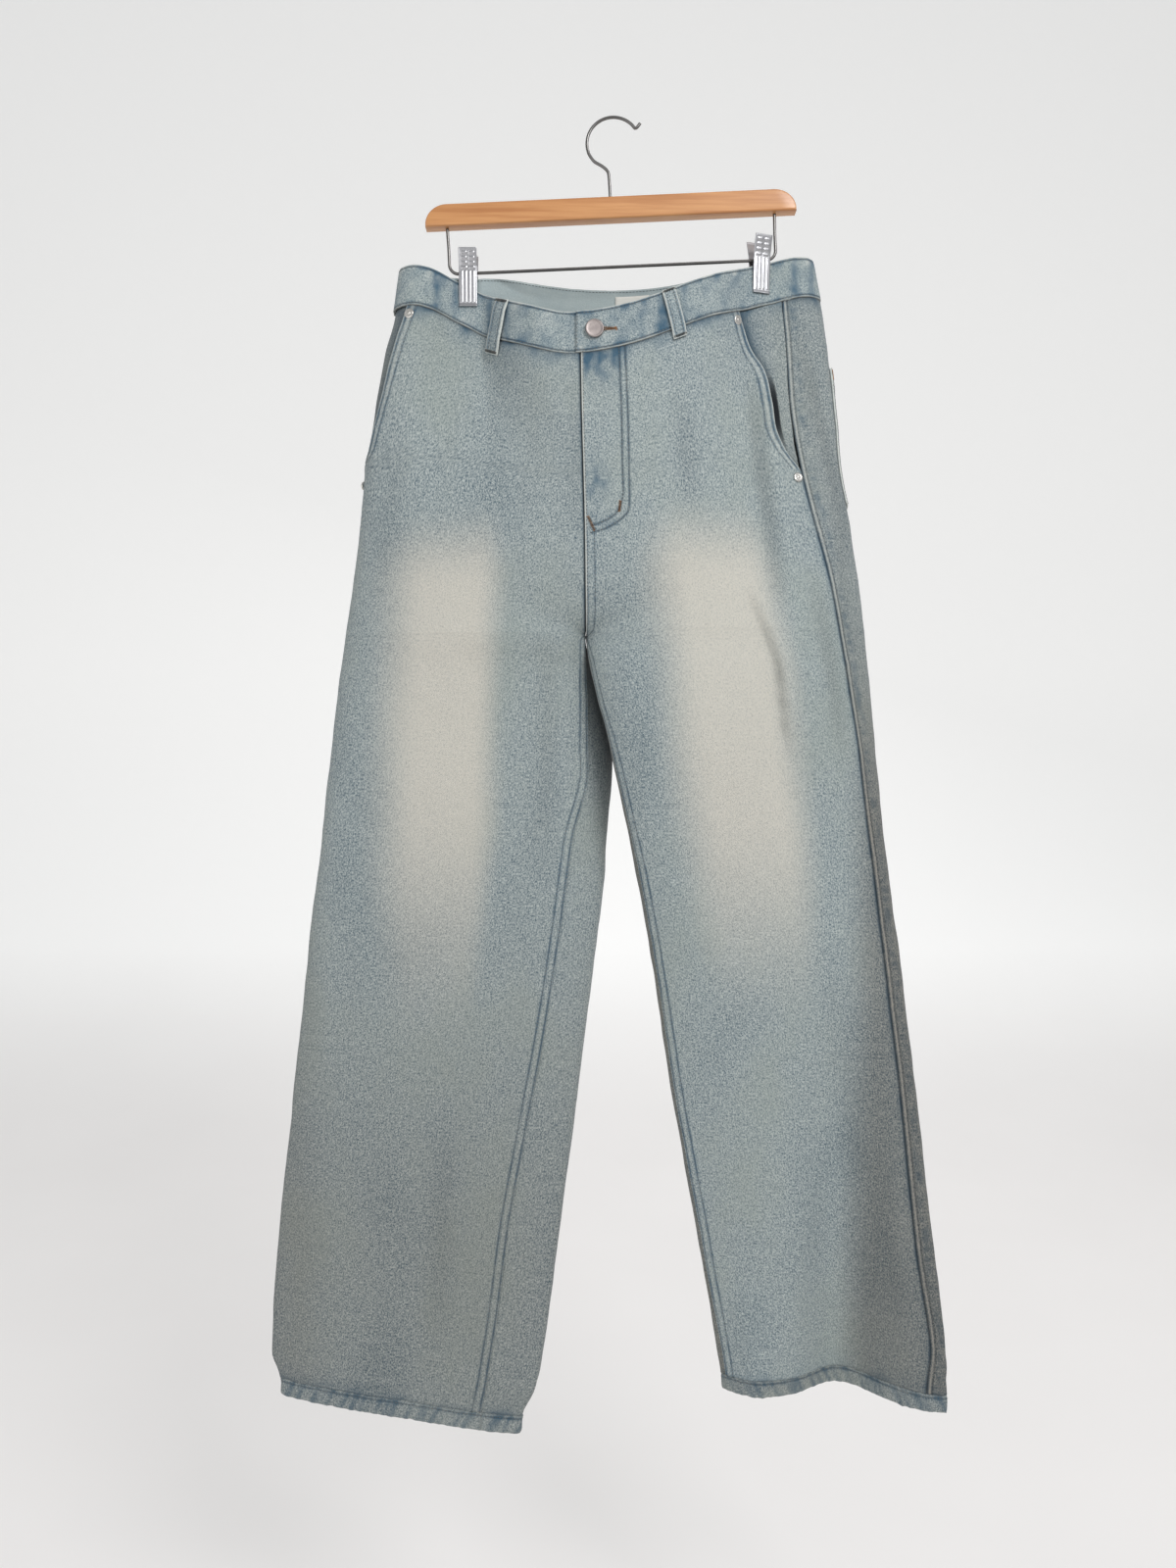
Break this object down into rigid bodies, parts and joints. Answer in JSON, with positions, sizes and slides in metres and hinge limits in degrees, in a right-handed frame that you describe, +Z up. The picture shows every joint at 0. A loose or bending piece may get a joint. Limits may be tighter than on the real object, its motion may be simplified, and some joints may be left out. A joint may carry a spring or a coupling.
{
  "type": "jeans on a clip hanger",
  "caption": "Wide leg jeans in pale washed denim, hung by the waistband from a wooden hanger with metal clips.",
  "frame": {"origin": "inner top of the hanger's hook, where it rests on a nail or rail", "axes": "+X to the right seen from the front, +Z up, the front of the jeans faces -Y"},
  "size_m": [0.6389, 0.1083, 1.2518],
  "materials": {
    "denim": "washed pale blue twill, matt",
    "denim_band": "washed pale blue twill, matt, sewn double",
    "pewter": "greyish matt metal",
    "steel": "bright plated",
    "wood": "clear satin lacquer on honey coloured wood",
    "label": "plain white woven tape"
  },
  "bodies": {
    "root": {"front_left": "denim", "front_right": "denim", "back_left": "denim", "back_right": "denim", "pocket_facing_left": "denim", "pocket_facing_right": "denim", "back_pocket_left": "denim", "back_pocket_right": "denim", "waistband": "denim_band", "hem_left": "denim_band", "hem_right": "denim_band", "belt_loop_front_left": "denim_band", "belt_loop_front_right": "denim_band", "belt_loop_side_left": "denim_band", "belt_loop_side_right": "denim_band", "belt_loop_centre_back": "denim_band", "label": "label", "button": "pewter", "rivet_left_top": "pewter", "rivet_left_low": "pewter", "rivet_right_top": "pewter", "rivet_right_low": "pewter", "hanger_bar": "wood", "hanger_hook": "steel", "hanger_frame": "steel", "clip_left_front": "steel", "clip_left_back": "steel", "clip_left_barrel": "steel", "clip_right_front": "steel", "clip_right_back": "steel", "clip_right_barrel": "steel"}
  },
  "joints": []
}
